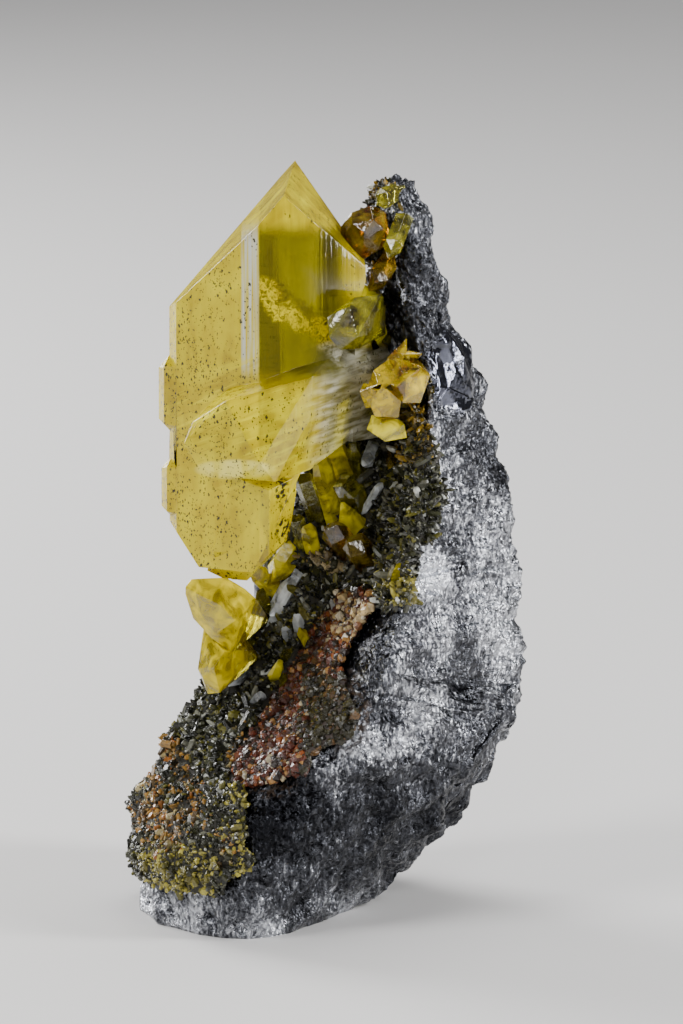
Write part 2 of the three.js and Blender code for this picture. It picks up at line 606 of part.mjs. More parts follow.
// Every solid in turn is cut clear of those before it
const looks = {
  galena: { color: 0x73767d, metalness: 0.9, roughness: 0.38 },
  crust: { color: 0x2c2f24, metalness: 0, roughness: 0.5 },
  rust: { color: 0x6e3f22, metalness: 0, roughness: 0.5 },
  prism: { color: 0xe6cf12, metalness: 0, roughness: 0.08 },
  yellow: { color: 0xd8c830, metalness: 0, roughness: 0.12 },
  olive: { color: 0x8a8a26, metalness: 0, roughness: 0.12 },
  amber: { color: 0xb98a14, metalness: 0, roughness: 0.2 },
  clear: { color: 0xb9bcc0, metalness: 0, roughness: 0.1 },
};
const specimen = new THREE.Group();
let taken = rock(gap);

function place(name, look, solid, room, tolerance = 0.02) {
  const left = solid.subtract(taken);
  const piece = largestBody(solidOf(geometryOf(largestBody(left.simplify(tolerance)))));
  const mesh = new THREE.Mesh(geometryOf(piece), new THREE.MeshStandardMaterial(looks[look]));
  mesh.name = name;
  mesh.geometry.computeVertexNormals();
  specimen.add(mesh);
  taken = taken.add(room);
}

function placeGrown(name, look, parts) {
  place(name, look, wasm.Manifold.union(parts), wasm.Manifold.union(parts.map(loosened)));
}

function placeSingle({ name, foot, tip, reach, kind, ...form }) {
  const rooted = shownAt(galenaMesh, ...foot).point;
  const end = seen(...tip, rooted.y - reach);
  const sunk = 1.2;
  rooted.addScaledVector(new THREE.Vector3().subVectors(rooted, end).normalize(), sunk);
  placeGrown(name, kind, [bar(rooted, end, form)]);
}

galenaMesh.name = 'galena_matrix';
galenaMesh.material = new THREE.MeshStandardMaterial(looks.galena);
specimen.add(galenaMesh);
placeGrown('lower_crystals', 'prism', lowerPair.map(crystalFrom));
for (const [name, [kind, corners]] of Object.entries(stout)) {
  placeGrown(name, kind, [crystalFrom(corners)]);
}
placeGrown('main_crystal', 'prism', [
  mainPrism(), ...leftSteps(), crystalFrom(crossing), crystalFrom(tail), crystalFrom(tie),
]);
placeGrown('yellow_knot', 'yellow', knot.map(crystalFrom));
singles.forEach(placeSingle);

const rusty = {
  outline: seamOutline, behind: -8, depth: seamDepth, count: seamGrains, growth: seamGrain,
};
const [seam, seamRoom] = crust(rusty);
const seamCut = outlineSolid(widened(seamOutline, gap), rusty.behind + gap);
place('rust_seam', 'rust', seam, seamCut.add(seamRoom), crustTolerance);
const dark = {
  outline: hollowOutline, behind: 40, depth: crustDepth, count: crustCrystals, growth: crustCrystal,
};
const [lining, liningRoom] = crust(dark);
place('druse_crust', 'crust', lining, liningRoom, crustTolerance);

// The origin is the middle of the base
const box = new THREE.Box3().setFromObject(specimen);
const middle = box.getCenter(new THREE.Vector3());
specimen.position.set(-middle.x, -middle.y, -box.min.z);

export default specimen;
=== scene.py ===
import math

import bmesh
import bpy
import numpy as np
from mathutils import Matrix, Vector, noise
from mathutils.bvhtree import BVHTree


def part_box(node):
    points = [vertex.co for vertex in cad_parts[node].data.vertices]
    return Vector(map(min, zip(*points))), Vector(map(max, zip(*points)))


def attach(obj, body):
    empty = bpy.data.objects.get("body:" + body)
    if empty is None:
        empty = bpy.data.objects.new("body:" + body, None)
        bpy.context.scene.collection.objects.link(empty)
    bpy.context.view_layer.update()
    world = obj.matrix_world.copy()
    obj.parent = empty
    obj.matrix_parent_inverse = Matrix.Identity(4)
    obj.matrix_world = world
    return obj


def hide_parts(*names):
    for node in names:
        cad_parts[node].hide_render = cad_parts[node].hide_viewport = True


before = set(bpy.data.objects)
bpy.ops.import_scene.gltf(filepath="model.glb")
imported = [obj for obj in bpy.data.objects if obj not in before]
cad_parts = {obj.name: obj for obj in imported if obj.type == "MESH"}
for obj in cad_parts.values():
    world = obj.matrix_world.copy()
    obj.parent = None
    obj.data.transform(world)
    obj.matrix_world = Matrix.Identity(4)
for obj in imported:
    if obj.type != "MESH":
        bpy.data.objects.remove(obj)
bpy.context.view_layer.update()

# The galena: one crescent of lead-grey metallic sulphide, broken out of the vein. Its faces are
# torn and folded cleavages that glint grain by grain, and its foot was cut flat with a saw, so
# that the specimen stands.
MM = 0.001
TILT = math.radians(12)  # how far above the horizon the front is seen from
DRAWN_CORNER = Vector((-20.2, -21.0, 0.0)) * MM  # least x and y of the large crystal as drawn
MIDDLE = Vector((*(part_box("main_crystal")[0] - DRAWN_CORNER).xy, 0))  # where the drawing's zero is
FLAT_FACET = Vector((15.9, -4.4, 67)) * MM + MIDDLE  # middle of the mirror-like cleavage
GALENA_CUTS = 8  # of each edge, so that the folds have enough faces
METAL_DARK = (0.012, 0.0125, 0.015, 1)
METAL_MID = (0.085, 0.088, 0.1, 1)
METAL_PALE = (0.72, 0.74, 0.79, 1)
MIRROR_BLUE = (0.1, 0.105, 0.135, 1)
SAWN_GREY = (0.3, 0.31, 0.34, 1)
STAIN = (0.03, 0.015, 0.006, 1)

# Ovals of the front view, each by its middle and half size in millimetres, and its strength.
# Painted shade, then painted light: ovals where the galena's tone is darkened, and where it is
# lightened.
SHADED = ((-4.6, 11, 7, 6.6, 0.13), (8, 8, 12, 9, 0.1), (9, 75, 5, 8, 0.1))
LIT = (
    (11.8, 41, 3.6, 4.4, 1.2), (5.7, 20, 5, 3, 1), (21, 38, 4, 15, 0.7), (14, 30, 9, 14, 0.5),
    (16, 54, 6, 12, 0.4),
)
STAINS = ((2.4, 24, 3.4, 6, 1), (-7, 15, 4, 2, 1), (9, 60, 4, 6, 0.7))


class Value:
    """One shader number, whose sums, products and powers are Math nodes."""

    def __init__(self, finish, socket):
        self.finish = finish
        self.socket = socket

    def math(self, operation, *numbers):
        made = self.finish.node("Math", {"operation": operation}, dict(enumerate(numbers)))
        return Value(self.finish, made.outputs[0])

    def __add__(self, other):
        return self.math("ADD", self, other)

    def __mul__(self, other):
        return self.math("MULTIPLY", self, other)

    def __sub__(self, other):
        return self.math("SUBTRACT", self, other)

    def __rsub__(self, other):
        return self.math("SUBTRACT", other, self)

    def __pow__(self, other):
        return self.math("POWER", self, other)

    def __abs__(self):
        return self.math("ABSOLUTE", self)

    __radd__ = __add__
    __rmul__ = __mul__

    def least(self, other):
        return self.math("MINIMUM", self, other)

    def most(self, other):
        return self.math("MAXIMUM", self, other)

    def rise(self, low, high):
        """From 0 at low to 1 at high, with soft ends. It falls where low is the larger."""
        made = self.finish.node(
            "MapRange",
            {"interpolation_type": "SMOOTHSTEP"},
            {0: self, 1: min(low, high), 2: max(low, high), 3: float(low > high), 4: float(low < high)},
        )
        return Value(self.finish, made.outputs[0])


class Finish:
    """A material and the nodes that make it, measured in millimetres of the object."""

    def __init__(self, name):
        self.material = bpy.data.materials.new(name)
        self.material.use_nodes = True
        self.tree = self.material.node_tree
        self.tree.nodes.clear()
        place = self.node("TexCoord").outputs["Object"]
        moved = self.vector("SUBTRACT", place, tuple(MIDDLE))
        self.place = self.vector("SCALE", moved, scale=1000)
        parts = self.node("SeparateXYZ", {}, {0: self.place}).outputs
        self.x, self.y, self.z = (Value(self, part) for part in parts)
        self.up = self.z * math.cos(TILT) + self.y * math.sin(TILT)

    def node(self, kind, settings=(), sockets=()):
        """A new node: its settings first, then the values or links of its sockets."""
        made = self.tree.nodes.new("ShaderNode" + kind)
        for name, value in dict(settings).items():
            if name == "stops":
                stops = made.color_ramp.elements
                while len(stops) < len(value):
                    stops.new(1)
                for stop, (position, colour) in zip(stops, value):
                    stop.position = position
                    stop.color = colour
            else:
                setattr(made, name, value)
        for key, value in dict(sockets).items():
            value = value.socket if isinstance(value, Value) else value
            if isinstance(value, bpy.types.NodeSocket):
                self.tree.links.new(value, made.inputs[key])
            else:
                made.inputs[key].default_value = value
        return made

    def vector(self, operation, a, b=(0, 0, 0), scale=1):
        sockets = {0: a, 1: b, 3: scale}
        return self.node("VectorMath", {"operation": operation}, sockets).outputs[0]

    def stretched(self, x, y, z):
        """The place with each axis scaled, so that a pattern runs along the smallest."""
        return self.vector("MULTIPLY", self.place, (x, y, z))

    def noise(self, scale, detail=3, place=None, distortion=0):
        sockets = {"Scale": scale, "Detail": detail, "Distortion": distortion}
        sockets["Vector"] = place or self.place
        return Value(self, self.node("TexNoise", {}, sockets).outputs[0])

    def warped(self, place, scale, strength):
        """A place pushed about by a noise, so that a pattern there has no straight edges."""
        sockets = {"Vector": self.place, "Scale": scale, "Detail": 2}
        push = self.node("TexNoise", {}, sockets).outputs["Color"]
        return self.vector("ADD", place, self.vector("SCALE", push, scale=strength))

    def cells(self, scale, place=None):
        """A pattern of cells: the distance to each cell's middle, and its random colour."""
        made = self.node("TexVoronoi", {}, {"Vector": place or self.place, "Scale": scale})
        return Value(self, made.outputs[0]), made.outputs[1]

    def colours(self, value, *stops):
        return self.node("ValToRGB", {"stops": stops}, {0: value}).outputs[0]

    def mixed(self, factor, a, b):
        return self.node("Mix", {"data_type": "RGBA"}, {0: factor, 6: a, 7: b}).outputs[2]

    def spot(self, across, up, wide, high):
        """1 in the middle of an oval on the front view, 0 outside it."""
        shift = ((self.x - across) * (1 / wide)) ** 2 + ((self.up - up) * (1 / high)) ** 2
        return shift.rise(1, 0.3)

    def spots(self, *ovals):
        """The sum of several such ovals, each times its own strength."""
        return sum(self.spot(*oval) * strength for *oval, strength in ovals)

    def bump(self, height, depth, normal=None):
        """A normal that follows a height from 0 to 1 which stands depth millimetres high."""
        sockets = {"Strength": 1, "Distance": depth * MM, "Height": height}
        if normal:
            sockets["Normal"] = normal
        return self.node("Bump", {}, sockets).outputs[0]

    def glints(self, strengths, share=1):
        """The surface's normal, tipped at random for each cell of each scale."""
        normal = self.node("NewGeometry").outputs["Normal"]
        for scale, strength in strengths.items():
            tip = self.vector("SUBTRACT", self.cells(scale)[1], (0.5, 0.5, 0.5))
            normal = self.vector("ADD", normal, self.vector("SCALE", tip, scale=share * strength))
        return self.vector("NORMALIZE", normal)

    def surface(self, shader, inside=None):
        """The finished material, with what light meets inside it where that is given."""
        output = self.node("OutputMaterial")
        self.tree.links.new(shader, output.inputs["Surface"])
        if inside:
            self.tree.links.new(inside, output.inputs["Volume"])
        return self.material


def copied(*nodes):
    """The merged solids of CAD nodes."""
    shape = bmesh.new()
    for name in nodes:
        shape.from_mesh(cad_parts[name].data)
    bmesh.ops.remove_doubles(shape, verts=shape.verts, dist=0.001 * MM)
    return shape


def refined(shape, cuts):
    """Cuts each edge this many times and fills each face with a grid of smaller ones."""
    bmesh.ops.subdivide_edges(shape, edges=shape.edges, cuts=cuts, use_grid_fill=True)


def piece_of(name, shape, material, slot, *nodes):
    """A finished piece of the specimen, in place of the CAD nodes that it stands for."""
    mesh = bpy.data.meshes.new(name)
    shape.to_mesh(mesh)
    shape.free()
    mesh.materials.append(material)
    piece = bpy.data.objects.new(name, mesh)
    bpy.context.scene.collection.objects.link(piece)
    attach(piece, "root")
    if nodes:
        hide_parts(*nodes)
    return piece


def ramped(value, low, high):
    """From 0 at low to 1 at high, and soft between. It falls where low is the larger."""
    share = min(max((value - low) / (high - low), 0), 1)
    return share * share * (3 - 2 * share)


def torn_height(point):
    """How far the galena's skin stands out at a point, in metres: folds, creases and ledges."""
    p = (point - MIDDLE) / MM
    folds = noise.noise(Vector((p.x * 0.5, p.y * 0.5, p.z * 0.2)))
    creases = 0.5 - abs(noise.noise(p * 0.75)) * 2
    level = noise.noise(p * 0.3 + Vector((7, 0, 0))) * 5
    ledges = math.floor(level) + ramped(level - math.floor(level), 0.75, 1)
    grit = noise.noise(p * 2.4)
    calm = ramped((point - FLAT_FACET).length, 3 * MM, 6 * MM)
    rough = 0.5 * folds + 0.42 * creases + 0.2 * ledges + 0.13 * grit - 0.1
    return rough * (0.08 + 0.92 * calm) * ramped(p.z, 0.1, 1.6) * MM


def galena_finish():
    finish = Finish("Galena")
    sheen = finish.noise(0.16, 6, finish.stretched(1, 1, 0.5), 0.6)
    flecks = finish.noise(2.4, 9, finish.warped(finish.stretched(1, 1, 0.45), 0.3, 1), 0.3)
    speck = finish.cells(2.6)[0]
    # Painted light and shade: the tone is lightened in the painted light ovals and towards the foot,
    # and darkened in the painted shade ovals.
    lit = finish.spots(*LIT) + finish.z.rise(6, 2) * 0.5
    tone = sheen * 0.62 + flecks * 0.78 - 0.18 - finish.spots(*SHADED) + lit * 0.16
    metal = finish.colours(tone, (0.34, METAL_DARK), (0.56, METAL_MID), (0.78, METAL_PALE))
    facet = finish.vector("SUBTRACT", finish.place, tuple((FLAT_FACET - MIDDLE) / MM))
    distance = Value(finish, finish.node("VectorMath", {"operation": "LENGTH"}, {0: facet}).outputs[1])
    mirror = distance.rise(5.6, 4.4)
    steps = finish.noise(0.9, 3, finish.stretched(0.3, 1, 2.4)).rise(0.56, 0.6)
    metal = finish.mixed(mirror * 0.9, metal, finish.mixed(steps, MIRROR_BLUE, METAL_MID))
    stained = finish.spots(*STAINS) * finish.noise(1.6, 8).rise(0.46, 0.58)
    sawn = finish.z.rise(7, 3) * finish.noise(2.4, 2, finish.stretched(1.6, 0.2, 1.1)).rise(0.5, 0.62)
    metal = finish.mixed(sawn * 0.4, metal, SAWN_GREY)
    rough = (0.12 + finish.noise(0.5, 4) * 0.34) * (1 - mirror * 0.5)
    relief = (flecks + speck * 0.35 + sawn * 0.3) * (1 - mirror * 0.9)
    glints = finish.glints({0.32: 0.36, 0.9: 0.3, 2.4: 0.55, 4.6: 0.85}, 1 - mirror * 0.9)
    skin = finish.node("BsdfPrincipled", {}, {
        "Base Color": finish.mixed(stained, metal, STAIN),
        "Metallic": 1 - stained * 0.8,
        "Roughness": rough + stained * 0.2,
        "Normal": finish.bump(relief, 0.15, glints),
    })
    return finish.surface(skin.outputs[0])


galena_shape = copied("galena_matrix")
refined(galena_shape, GALENA_CUTS)
bmesh.ops.smooth_vert(
    galena_shape, verts=galena_shape.verts, factor=0.5, use_axis_x=True, use_axis_y=True)
galena_shape.normal_update()
for vert in galena_shape.verts:
    vert.co += vert.normal * torn_height(vert.co)
    vert.co.z = max(vert.co.z, 0)
for face in galena_shape.faces:
    face.smooth = True
galena_skin = BVHTree.FromBMesh(galena_shape)
galena = piece_of("galena", galena_shape, galena_finish(), "galena", "galena_matrix")

# The rusty seam: red-brown, orange and tan translucent grains that cement the rim of the hollow.
# Each is a blunt lump half sunk among its neighbours, over a crust of the same stuff.
RUST_GRAINS = 5200
RUST_GAP = 0.45 * MM  # least distance of a grain's foot from the galena
REFRACTION = 1.88  # the refractive index of anglesite
TAN_MIDDLE = (2.6, 38)  # x and z of the tan patch, in millimetres
RUST_CRUST = (0.03, 0.014, 0.007, 1)
GRIME = (0.02, 0.017, 0.01, 1)
RUST_SHADES = (
    ((0.075, 0.014, 0.006), 0.4), ((0.2, 0.05, 0.012), 0.16), ((0.016, 0.007, 0.005), 0.24),
    ((0.34, 0.17, 0.05), 0.12), ((0.5, 0.42, 0.26), 0.05),
)
TAN_SHADES = (((0.5, 0.36, 0.17), 0.5), ((0.6, 0.52, 0.38), 0.2), ((0.16, 0.06, 0.02), 0.3))
DULL_SHADES = (((0.03, 0.026, 0.01), 0.5), ((0.01, 0.009, 0.005), 0.3), ((0.1, 0.05, 0.015), 0.2))
chance = np.random.default_rng(31)


def scattered(piece, count, least_gap):
    """Random places on a mesh that stand clear of the galena, as points and normals."""
    mesh = piece.data
    mesh.calc_loop_triangles()
    triangles = mesh.loop_triangles
    areas = np.array([triangle.area for triangle in triangles])
    places = []
    for i in chance.choice(len(triangles), count, p=areas / areas.sum()):
        a, b, c = (mesh.vertices[v].co for v in triangles[i].vertices)
        s, t = sorted(chance.random(2))
        point = a * s + b * (t - s) + c * (1 - t)
        if galena_skin.find_nearest(point)[3] > least_gap:
            places.append((point, triangles[i].normal.copy()))
    return places


def planted(name, template, matrices, shades, material, slot):
    """One piece of many copies of a shape, each with its own matrix and its own shade."""
    corners = np.array([(*vert.co, 1) for vert in template.verts])
    faces = [[vert.index for vert in face.verts] for face in template.faces]
    template.free()
    turned = np.einsum("nij,vj->nvi", np.array(matrices), corners)[:, :, :3]
    firsts = range(0, len(turned) * len(corners), len(corners))
    mesh = bpy.data.meshes.new(name)
    copied_faces = [[v + first for v in face] for first in firsts for face in faces]
    mesh.from_pydata(turned.reshape(-1, 3), [], copied_faces)
    shade = mesh.attributes.new("Shade", "FLOAT_COLOR", "POINT")
    painted = np.ones((len(turned), len(corners), 4))
    painted[:, :, :3] = np.array(shades)[:, None, :]
    shade.data.foreach_set("color", painted.ravel())
    shape = bmesh.new()
    shape.from_mesh(mesh)
    return piece_of(name, shape, material, slot)


def picked(shades):
    """One of the listed shades by its share, a little lighter or darker."""
    colours, shares = zip(*shades)
    colour = colours[chance.choice(len(colours), p=np.array(shares) / sum(shares))]
    return np.array(colour) * chance.uniform(0.6, 1.35)


def standing(point, normal, lean, width, thick, length):
    """The matrix that stands a shape of unit size on a point, leaning at random from the normal."""
    way = (normal + Vector(chance.uniform(-lean, lean, 3))).normalized()
    tipped = way.to_track_quat("Z", "Y").to_matrix().to_4x4()
    spun = Matrix.Rotation(chance.uniform(0, 6.3), 4, "Z")
    return Matrix.Translation(point) @ tipped @ spun @ Matrix.Diagonal((width, thick, length, 1))


def blunt_grain():
    """A rounded lump with uneven flat faces, one millimetre across."""
    shape = bmesh.new()
    bmesh.ops.create_icosphere(shape, subdivisions=1, radius=0.5)
    for vert in shape.verts:
        vert.co *= chance.uniform(0.72, 1.15)
    shape.verts.index_update()
    return shape


def grain_finish(name, gloss, base=None):
    """Glassy grains whose colour is their own shade, or base where they have none."""
    finish = Finish(name)
    colour = base or finish.node("Attribute", {"attribute_name": "Shade"}).outputs["Color"]
    patches = finish.noise(2.2, 4)
    body = finish.node("BsdfPrincipled", {}, {
        "Base Color": finish.mixed(patches.rise(0.3, 0.7) * 0.5, colour, GRIME),
        "Roughness": patches * 0.3 + gloss,
        "IOR": REFRACTION,
        "Specular IOR Level": 0.2,
        "Normal": finish.bump(finish.noise(5, 3), 0.05),
    })
    return finish.surface(body.outputs[0])


def seam_shade(point):
    """Dull brown low on the right of the seam, tan near its top, and rusty over the rest."""
    place = (point - MIDDLE) / MM
    dull = ramped(place.x, -4, -1.5) * ramped(place.z, 33, 30)
    tan = ramped(math.dist((place.x, place.z), TAN_MIDDLE), 3.4, 1.6) * 0.7
    if chance.random() < dull:
        return picked(DULL_SHADES)
    if chance.random() < tan:
        return picked(TAN_SHADES)
    return picked(RUST_SHADES)


seam_shape = copied("rust_seam")
refined(seam_shape, 1)
seam_crust = grain_finish("Rusty crust", 0.3, RUST_CRUST)
seam_bed = piece_of("seam_bed", seam_shape, seam_crust, "rusty_grains", "rust_seam")
matrices = []
shades = []
for point, normal in scattered(seam_bed, RUST_GRAINS, RUST_GAP):
    size = min(0.45 + chance.exponential(0.35), 1.7) * MM
    matrices.append(standing(point, normal, 1, size, size * 0.8, size * 0.9))
    shades.append(seam_shade(point))
grain_glass = grain_finish("Rusty grains", 0.1)
planted("rust_grains", blunt_grain(), matrices, shades, grain_glass, "rusty_grains")

# The lining: a dark crust of minute crystals that coats the hollow of the galena. Most are
# black-green to grey prisms that stand every way, and patches of them are stained ochre, tan and
# yellow-green.
LINING_CRYSTALS = 22500
LINING_GAP = 0.25 * MM  # least distance of a crystal's foot from the galena
LINING_ROOM = 0.65 * MM  # kept clear round the larger crystals and the seam
LINING_PIECES = 3
SUMMIT_TRIES = 60000  # random places on the galena, of which those in the summit's hollow count
LINING_CRUST = (0.012, 0.011, 0.007, 1)
DARK_LINING = (
    ((0.01, 0.011, 0.007), 0.44), ((0.03, 0.032, 0.012), 0.26), ((0.075, 0.075, 0.055), 0.12),
    ((0.2, 0.2, 0.15), 0.06), ((0.12, 0.11, 0.015), 0.12), ((0.55, 0.56, 0.5), 0.03),
)
OCHRE_LINING = (
    ((0.34, 0.18, 0.035), 0.4), ((0.32, 0.11, 0.015), 0.1), ((0.09, 0.055, 0.02), 0.24),
    ((0.02, 0.017, 0.01), 0.14), ((0.45, 0.36, 0.16), 0.12),
)
GREEN_LINING = (((0.36, 0.31, 0.05), 0.45), ((0.16, 0.14, 0.03), 0.35), ((0.03, 0.03, 0.012), 0.2))
TAN_LINING = (((0.48, 0.38, 0.2), 0.55), ((0.2, 0.14, 0.06), 0.3), ((0.05, 0.04, 0.02), 0.15))
AMBER_LINING = (((0.28, 0.17, 0.012), 0.3), ((0.1, 0.07, 0.01), 0.45), ((0.02, 0.017, 0.008), 0.25))

# Stained patches of the lining: middle and half size on the front view in millimetres, how much
# of the patch is stained, and the shades.
STAINED = (
    (-20, 13.5, 4.8, 6.6, 0.6, OCHRE_LINING), (-18.2, 4.5, 5, 3.6, 0.75, GREEN_LINING),
    (-13.8, 8, 3, 5, 0.12, OCHRE_LINING), (-10.6, 9, 1.5, 8, 0.85, GREEN_LINING),
    (-8.6, 18.4, 3.4, 3.4, 0.95, OCHRE_LINING), (-0.4, 43, 2.2, 2, 0.9, TAN_LINING),
    (8.4, 38.4, 2.4, 3, 0.5, GREEN_LINING), (10.6, 57.6, 2.6, 4.4, 0.8, AMBER_LINING),
    (5.5, 82, 4.6, 6, 0.8, AMBER_LINING), (-1, 33, 3, 2, 0.3, GREEN_LINING),
)


def on_front(point):
    """Where a point is on the front view: millimetres across and up."""
    place = (point - MIDDLE) / MM
    return place.x, place.z * math.cos(TILT) + place.y * math.sin(TILT)


def on_summit(point, normal):
    """Whether a point of the galena is in the crusted hollow beside the amber crystals."""
    across, up = on_front(point)
    inside = ((across - 5.6) / 4) ** 2 + ((up - 81.5) / 6.6) ** 2 < 1
    return inside and normal.dot(Vector((-0.5, -0.8, 0.2))) > 0.1


def lining_shade(point):
    """The stain of the patch that a crystal stands in, or the dark of the rest."""
    across, up = np.array(on_front(point)) + chance.normal(0, 0.5, 2)
    for middle, height, wide, high, share, shades in STAINED:
        inside = ((across - middle) / wide) ** 2 + ((up - height) / high) ** 2 < 1
        clump = 1.8 * noise.noise(Vector((across, up, 0)) * 0.4)
        if inside and chance.random() + clump < share:
            return picked(shades)
    return picked(DARK_LINING)


def small_prism():
    """A six-sided prism with a pointed end, one unit wide and one long, half sunk at its foot."""
    shape = bmesh.new()
    bmesh.ops.create_cone(shape, cap_ends=True, segments=6, radius1=0.5, radius2=0.46, depth=1)
    crown = [face for face in shape.faces if face.normal.z > 0.9]
    top = bmesh.ops.extrude_face_region(shape, geom=crown)["geom"]
    raised = [item for item in top if isinstance(item, bmesh.types.BMVert)]
    bmesh.ops.translate(shape, verts=raised, vec=(0, 0, 0.3))
    bmesh.ops.scale(shape, verts=raised, vec=(0.3, 0.75, 1))
    bmesh.ops.delete(shape, geom=crown, context="FACES_ONLY")
    bmesh.ops.translate(shape, verts=shape.verts, vec=(0, 0, 0.1))
    bmesh.ops.recalc_face_normals(shape, faces=shape.faces)
    shape.verts.index_update()
    return shape


neighbours = [
    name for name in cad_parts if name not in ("galena_matrix", "main_crystal", "druse_crust")]
neighbour_skin = BVHTree.FromBMesh(copied(*neighbours))
lining_shape = copied("druse_crust")
refined(lining_shape, 2)
lining_shape.normal_update()
for vert in lining_shape.verts:
    swell = (1.5 * noise.noise(vert.co / MM * 0.32) - 0.35) * MM
    vert.co += vert.normal * swell * ramped(vert.co.z, 0.5 * MM, 3 * MM)
dark_crust = grain_finish("Dark crust", 0.6, LINING_CRUST)
lining_glass = grain_finish("Lining crystals", 0.06)
lining_bed = piece_of("lining_bed", lining_shape, dark_crust, "druse", "druse_crust")
matrices = []
shades = []
summit = [place for place in scattered(galena, SUMMIT_TRIES, -1) if on_summit(*place)]
for point, normal in scattered(lining_bed, LINING_CRYSTALS, LINING_GAP) + summit:
    if neighbour_skin.find_nearest(point + normal * 0.4 * MM)[3] < LINING_ROOM:
        continue
    width = min(0.28 + chance.exponential(0.17), 1.25) * MM
    blunt = 1 - 0.45 * ramped(point.z, 26 * MM, 16 * MM)
    long = min(width * chance.uniform(0.9, 2.6), 1.9 * MM) * blunt
    matrices.append(standing(point, normal, 1.5, width, width * chance.uniform(0.45, 1), long))
    shades.append(lining_shade(point))
for i in range(LINING_PIECES):
    share = slice(i, None, LINING_PIECES)
    name = "lining_crystals_%d" % (i + 1)
    planted(name, small_prism(), matrices[share], shades[share], lining_glass, "druse")

# The large crystal: a yellow rhombic prism with a roof of two faces, grown together with the
# wedge-ended crystal that crosses it and with the one that shares its tail. It is clear behind
# the right face, cloudy and peppered with dark grains towards the left, and grooved upright.
YELLOW = (0.6, 0.47, 0, 1)
PALE_YELLOW = (0.82, 0.7, 0.002, 1)
DEEP_YELLOW = (0.4, 0.28, 0, 1)
# Painted shade in the clear window of the right face: a dark and a paler olive.
WINDOW_SHADE_DARK = (0.03, 0.028, 0.001, 1)
WINDOW_SHADE_PALE = (0.13, 0.12, 0.001, 1)
SPECK = (0.03, 0.026, 0.01, 1)
GROOVE_GREY = (0.6, 0.62, 0.58, 1)
SMOKY_DARK = (0.09, 0.09, 0.06, 1)
SMOKY_PALE = (0.42, 0.42, 0.37, 1)
BLADE_PALE = (0.95, 0.86, 0.3, 1)
LARGE_CLEAR = ((0.98, 0.97, 0.3, 1), (0.95, 0.93, 0.01, 1), 520)  # clear, absorption and density


def gem(finish, cloud, colour, clear_colour, absorbed, density, relief):
    """Clear coloured crystal, and cloudy crystal where cloud is 1."""
    clear = finish.node("BsdfPrincipled", {}, {
        "Base Color": clear_colour, "Roughness": 0.03, "IOR": REFRACTION,
        "Specular IOR Level": 0.22, "Transmission Weight": 1, "Normal": relief})
    cloudy = finish.node("BsdfPrincipled", {}, {
        "Base Color": colour, "Roughness": 0.16, "IOR": REFRACTION,
        "Specular IOR Level": 0.1, "Transmission Weight": 0.15, "Normal": relief})
    shader = finish.node("MixShader", {}, {0: cloud, 1: clear.outputs[0], 2: cloudy.outputs[0]})
    inside = finish.node("VolumeAbsorption", {}, {"Color": absorbed, "Density": density})
    return finish.surface(shader.outputs[0], inside.outputs[0])


def dark_grains(finish, crowding):
    """Frayed grains of two sizes, with more of them where crowding is higher."""
    frayed = finish.warped(finish.stretched(1, 1, 0.7), 2.5, 0.5)
    grains = 0
    for scale, size in ((1.9, 0.34), (3.6, 0.4)):
        cell, random = finish.cells(scale, frayed)
        chosen = Value(finish, finish.node("SeparateXYZ", {}, {0: random}).outputs[0])
        grains = cell.rise(size, size * 0.5) * (chosen + crowding).rise(0.98, 1.04) + grains
    return grains


def streaked(finish, colour, grey):
    """The colour with the slanting streaks of the crossing crystal and its smoky right end."""
    slant = (finish.up - finish.x * 0.36) * 2.4
    along = finish.node("CombineXYZ", {}, {0: slant, 1: finish.x * 0.2, 2: finish.y * 0.4})
    streaks = finish.noise(0.6, 4, along.outputs[0])
    crossing = finish.spot(-6, 58, 15, 10) * (1 - grey)
    colour = finish.mixed(crossing * streaks.rise(0.52, 0.66) * 0.9, colour, PALE_YELLOW)
    colour = finish.mixed(crossing * streaks.rise(0.42, 0.3) * 0.7, colour, DEEP_YELLOW)
    smoky = finish.mixed(streaks.rise(0.35, 0.65), SMOKY_DARK, SMOKY_PALE)
    return finish.mixed(grey * 0.9, colour, smoky)


